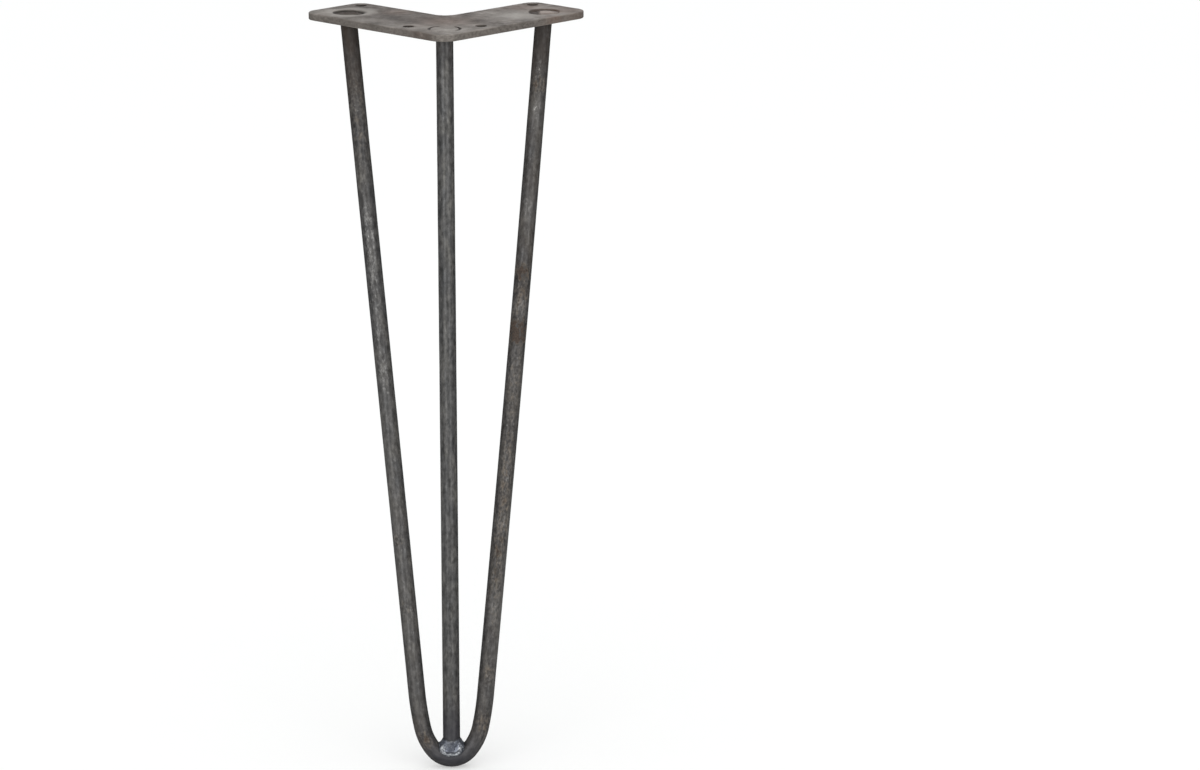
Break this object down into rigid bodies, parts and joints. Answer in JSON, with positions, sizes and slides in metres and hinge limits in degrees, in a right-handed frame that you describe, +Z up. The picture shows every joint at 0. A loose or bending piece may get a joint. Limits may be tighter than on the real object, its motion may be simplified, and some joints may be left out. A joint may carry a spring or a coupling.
{
  "type": "hairpin table leg",
  "caption": "Raw steel hairpin table leg: a round bar bent at the foot and a straight centre bar, welded into a flat L-shaped plate with screw holes that holds a table top.",
  "frame": {"origin": "middle of the plate's corner seat, on the flat top face that meets the table", "axes": "+Z up, out of the plate's top face; +Y from the plate's outer corner inwards along its line of symmetry; +X across"},
  "size_m": [0.1548, 0.1559, 0.4064],
  "materials": {
    "plate_steel": "bare hot-rolled plate, worn grey with brown tints",
    "bar_steel": "dark mill scale with streaks and light rust",
    "weld_metal": "bright, rippled weld metal",
    "ground_weld": "weld ground almost flush"
  },
  "bodies": {
    "root": {"top_plate": "plate_steel", "hairpin_rod": "bar_steel", "centre_rod": "bar_steel", "foot_weld": "weld_metal", "corner_plug_weld": "ground_weld", "left_plug_weld": "weld_metal", "right_plug_weld": "weld_metal"}
  },
  "joints": []
}
